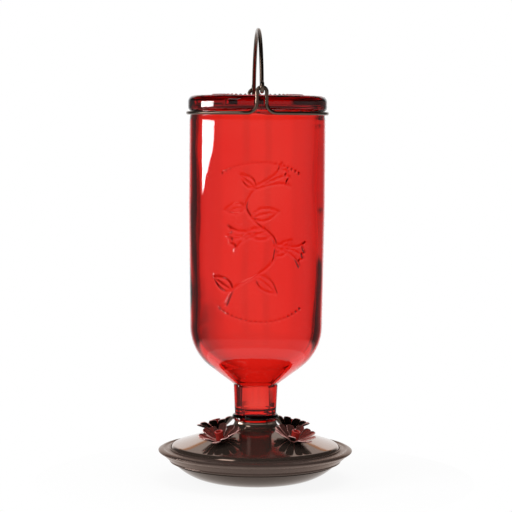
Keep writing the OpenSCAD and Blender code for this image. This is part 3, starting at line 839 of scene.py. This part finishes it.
rim_band = turned("rim_band", rim_section(), ROUND_STEPS, RIM_SATIN)
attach(rim_band, "cover")
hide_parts("rim_ring")
print("rim band:", len(rim_band.data.polygons), "faces")

# %% [markdown]
# ## The dish and its groove
# Just under the rim the dish has a narrow groove, which draws a dark line between the two. The dish is a copy of the
# CAD node, with its loose triangles merged, and a turned ring is cut out of it with a Boolean.

# %% Dish
GROOVE_R, GROOVE_LOW, GROOVE_HIGH, PAST_DISH_R = 43.5, 9.1, 10.45, 46


def grooved_dish():
    """The frame's tray with a groove cut into it. Its stored normals wouldn't fit the cut mesh, so they go."""
    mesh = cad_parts["tray"].data.copy()
    with opened(mesh) as work:
        bmesh.ops.remove_doubles(work, verts=work.verts, dist=1e-6)
    if "custom_normal" in mesh.attributes:
        mesh.attributes.remove(mesh.attributes["custom_normal"])
    dish = in_scene("nectar_dish", mesh)
    cutter = turned("groove_cutter", [(GROOVE_R, GROOVE_LOW), (PAST_DISH_R, GROOVE_LOW), (PAST_DISH_R, GROOVE_HIGH),
                                      (GROOVE_R, GROOVE_HIGH)], ROUND_STEPS)
    cut = dish.modifiers.new("groove", "BOOLEAN")
    cut.operation, cut.solver, cut.object = "DIFFERENCE", "EXACT", cutter
    finished(dish)
    bpy.data.objects.remove(cutter)
    dish.data.materials.clear()
    dish.data.materials.append(DISH_GLOSS)
    smooth(dish.data, 30)
    return dish


dish = grooved_dish()
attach(dish, "tray")
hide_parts("tray")
print("dish:", len(dish.data.polygons), "faces")

# %% [markdown]
# ## Finishes for the pieces that keep their CAD shape
# The collar and the washer are right as they come from the frame, so they only get their finish.

# %% CAD nodes
for node, material in {"threaded_collar": COLLAR_BLACK, "neck_gasket": GASKET_RUBBER}.items():
    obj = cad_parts[node]
    obj.data.materials.clear()
    obj.data.materials.append(material)
    print(node, "has", len(obj.data.polygons), "faces")

# %% [markdown]
# ## Studio
# Clear glass shows only what is around it. The picture was lit as glass usually is: a white ground behind,
# darkness to the sides that draws the bottle's edges, and one tall soft light at the left that leaves a white
# streak. The world paints this by direction, once for mirrored light and once for light that came through glass.

# %% World
# All directions are in degrees, and each pair is a soft edge, from where it starts to where it ends. Azimuths run from
# the rear of the feeder over its right, and most are taken from the direction that the camera looks along.
SIGHT = -math.degrees(CAMERA_AZIMUTH)
REAR_WINDOW, FRONT_WINDOW = (17.5, 22.5), (164, 167)
SIDE_WINDOW, SIDE_LEVEL = ((78, 84), (96, 102)), 0.25
CORNER_WINDOW, CORNER_LEVEL = ((106, 112), (150, 156)), 0.85
CEILING, CEILING_LEVEL = (16, 32), 0.04
GROUND, GROUND_SIDES, GROUND_SIDE_LEVEL = (-22, -17), (60, 100), 0.15
SHADE_ACROSS, SHADE_UP, SHADE_DEPTH = (-13, -2), (-6.8, -4.8), 0.55
GAP_UP, GAP_END, GAP_LEVEL = ((-6.0, -4.2), (-0.4, 0.6)), (60, 75), 0.7
THROUGH_LEVEL, SCREEN_LEVEL, PLAIN_LEVEL = 0.9, 0.05, 0.75
RAIL_FOOT, RAIL_TOP, RAIL_TINT = (23, 24), (25.5, 26.5), (1.7, 0.72, 0.16, 1)
BACKDROP_SIDES, BACKDROP_SIDE_LEVEL, RAIL_LEVEL, WALL_LEVEL, WALL_TOP = (14, 34), 0.03, 0.32, 0.13, (55, 80)
STREAK_RIGHT, STREAK_UP, STREAK_LEVEL = (-71, -69), ((-2.1, -1.5), (2, 6)), 20
STREAK_SLANT_UP, STREAK_SLANT = (-2.0, -0.2), (-74, -98.5)
KEY_ACROSS, KEY_UP, KEY_LEVEL = ((-146, -142), (-122, -118)), ((24, 28), (44, 50)), 1.2
ROOM_SIDES, ROOM_LEVELS, ROOM_TOP, ROOM_TOP_LEVEL = (60, 90), (0.12, 0.35), (5, 10), 0.05
ROOM_FLOOR, ROOM_FLOOR_LEVEL = (-24, -14), 0.6


def studio_world():
    """Levels by direction for light that came through glass and for mirrored light, and plain white for the camera."""
    world = bpy.data.worlds.new("studio")
    bpy.context.scene.world = world
    tree, output = empty_tree(world, "ShaderNodeOutputWorld")
    ray = add_node(tree, "ShaderNodeLightPath")
    where = add_node(tree, "ShaderNodeTexCoord")
    xyz = add_node(tree, "ShaderNodeSeparateXYZ", None, {0: where.outputs["Generated"]})
    x, y, z = xyz.outputs
    maths = arithmetic(tree)

    def times(*factors):
        return reduce(lambda a, b: maths("MULTIPLY", a, b), factors)

    def brightest(*levels):
        return reduce(lambda a, b: maths("MAXIMUM", a, b), levels)

    def plus(*levels):
        return reduce(lambda a, b: maths("ADD", a, b), levels)

    def ease(socket, edge, before, after):
        """Goes smoothly from one level before an edge to another after it."""
        node = add_node(tree, "ShaderNodeMapRange", {"interpolation_type": "SMOOTHSTEP"},
                        {"Value": socket, "From Min": edge[0], "From Max": edge[1], "To Min": before, "To Max": after})
        return node.outputs["Result"]

    def band(socket, edges, level=1):
        """A level between two soft edges, and 0 outside them."""
        return times(ease(socket, edges[0], 0, level), ease(socket, edges[1], 1, 0))

    azimuth = times(maths("ARCTAN2", x, y), math.degrees(1))
    elevation = times(maths("ARCSINE", z), math.degrees(1))
    across = maths("SUBTRACT", azimuth, SIGHT)
    off_axis = maths("ABSOLUTE", across)
    # White windows behind, in front and at both sides, with dark screens between them. The two corner windows towards
    # the front light the glass for views from behind.
    window = brightest(ease(off_axis, REAR_WINDOW, 1, 0), ease(off_axis, FRONT_WINDOW, 0, 1),
                       band(off_axis, SIDE_WINDOW, SIDE_LEVEL), band(off_axis, CORNER_WINDOW, CORNER_LEVEL))
    # Seen through glass: the windows near the horizon, shaded low at the left, under a dark ceiling; white ground far
    # below; and screens that aren't black all over, the right one of which lets light by in a low band
    shade = times(ease(across, SHADE_ACROSS, SHADE_DEPTH, 0), ease(elevation, SHADE_UP, 1, 0))
    window = times(window, maths("SUBTRACT", 1, shade), ease(elevation, CEILING, 1, CEILING_LEVEL), THROUGH_LEVEL)
    ground = times(ease(elevation, GROUND, 1, 0), ease(off_axis, GROUND_SIDES, 1, GROUND_SIDE_LEVEL))
    gap = times(band(elevation, GAP_UP, GAP_LEVEL), maths("GREATER_THAN", across, 0), ease(off_axis, GAP_END, 1, 0))
    through = brightest(window, ground, gap, SCREEN_LEVEL)
    # Mirrored: the backdrop up to its rail with the wall above it, the dim room, the tall soft light at the left with
    # its slanted edge, and the key light high at the front left
    backdrop = plus(ease(elevation, RAIL_FOOT, 1, RAIL_LEVEL),
                    times(ease(elevation, RAIL_TOP, 0, WALL_LEVEL), ease(elevation, WALL_TOP, 1, 0)))
    backdrop = times(ease(off_axis, BACKDROP_SIDES, 1, BACKDROP_SIDE_LEVEL), backdrop)
    room = brightest(times(ease(off_axis, ROOM_SIDES, *ROOM_LEVELS), ease(elevation, ROOM_TOP, 1, ROOM_TOP_LEVEL)),
                     ease(elevation, ROOM_FLOOR, ROOM_FLOOR_LEVEL, 0))
    slant = maths("SUBTRACT", azimuth, ease(elevation, STREAK_SLANT_UP, *STREAK_SLANT))
    streak = times(ease(slant, (-1, 1), 0, STREAK_LEVEL), ease(azimuth, STREAK_RIGHT, 1, 0),
                   band(elevation, STREAK_UP))
    key = times(band(azimuth, KEY_ACROSS, KEY_LEVEL), band(elevation, KEY_UP))
    mirrored = plus(brightest(backdrop, room), streak, key)
    # Which of them counts depends on the ray; what is neither seen, mirrored nor behind glass gets a plain level
    level = PLAIN_LEVEL
    for kind, value in (("Is Glossy Ray", mirrored), ("Is Transmission Ray", through), ("Is Camera Ray", 1.0)):
        level = add_node(tree, "ShaderNodeMix", {"data_type": "FLOAT"},
                         {"Factor": ray.outputs[kind], "A": level, "B": value}).outputs["Result"]
    # The backdrop's wooden top rail, which the cover mirrors as a thin warm line
    rail = times(band(elevation, (RAIL_FOOT, RAIL_TOP)), ray.outputs["Is Glossy Ray"])
    tint = blend_colours(tree, rail, (1, 1, 1, 1), RAIL_TINT)
    light = add_node(tree, "ShaderNodeBackground", None, {"Color": tint, "Strength": level})
    feed(tree, output, {"Surface": light.outputs[0]})


studio_world()


# %% Lamps and floor
def soft_lamp(name, place, aim, size, watts):
    """An area lamp, in metres, that gives soft light and isn't seen itself."""
    lamp = bpy.data.objects.new(name, bpy.data.lights.new(name, "AREA"))
    lamp.data.shape = "RECTANGLE"
    lamp.data.size, lamp.data.size_y = size
    lamp.data.energy = watts
    lamp.location = place
    lamp.rotation_euler = (Vector(aim) - Vector(place)).to_track_quat("-Z", "Y").to_euler()
    lamp.visible_camera = lamp.visible_glossy = lamp.visible_transmission = False
    bpy.context.scene.collection.objects.link(lamp)
    return lamp


soft_lamp("left_softbox", (-0.95, -0.35, 0.55), (0, 0, 0.1), (0.45, 0.8), 7)
soft_lamp("top_fill", (0.2, -0.2, 1.2), (0, 0, 0.1), (0.9, 0.9), 5)
# The tall light at the left as the wires show it: a clean line along the bail
glint = soft_lamp("wire_glint", (-1.0, -0.25, 0.75), (0, 0, 0.22), (0.3, 0.9), 2.6)
glint.visible_glossy = True
takes_glint = bpy.data.collections.new("wires and tubes that take the glint")
for shiny in (ring, bail, *tubes):
    takes_glint.objects.link(shiny)
glint.light_linking.receiver_collection = takes_glint

FLOOR_R, FLOOR_SIDES, FLOOR_WHITENESS, MIRRORED_FLOOR = 120 * MM, 96, 0.9, 0.95


def floor_material():
    """White paper that burns out to the backdrop's white for the camera, also through glass and mirrored."""
    material = bpy.data.materials.new("white_paper_floor")
    tree, output = empty_tree(material, "ShaderNodeOutputMaterial")
    maths = arithmetic(tree)
    ray = add_node(tree, "ShaderNodeLightPath")
    paper = add_node(tree, "ShaderNodeBsdfDiffuse", None, {"Color": (0.8, 0.8, 0.8, 1)})
    glow = add_node(tree, "ShaderNodeEmission", None, {"Color": (1, 1, 1, 1), "Strength": 1.0})
    white = add_node(tree, "ShaderNodeMixShader", None, {0: FLOOR_WHITENESS, 1: paper.outputs[0], 2: glow.outputs[0]})
    seen = maths("MAXIMUM", ray.outputs["Is Camera Ray"], ray.outputs["Is Transmission Ray"])
    seen = maths("MAXIMUM", seen, maths("MULTIPLY", ray.outputs["Is Glossy Ray"], MIRRORED_FLOOR))
    both = add_node(tree, "ShaderNodeMixShader", None, {0: seen, 1: paper.outputs[0], 2: white.outputs[0]})
    feed(tree, output, {"Surface": both.outputs[0]})
    return material


floor = new_object("floor", [(FLOOR_R * math.cos(a), FLOOR_R * math.sin(a), 0)
                             for a in np.linspace(0, 2 * math.pi, FLOOR_SIDES, endpoint=False)],
                   [list(range(FLOOR_SIDES))])
floor.data.materials.append(floor_material())
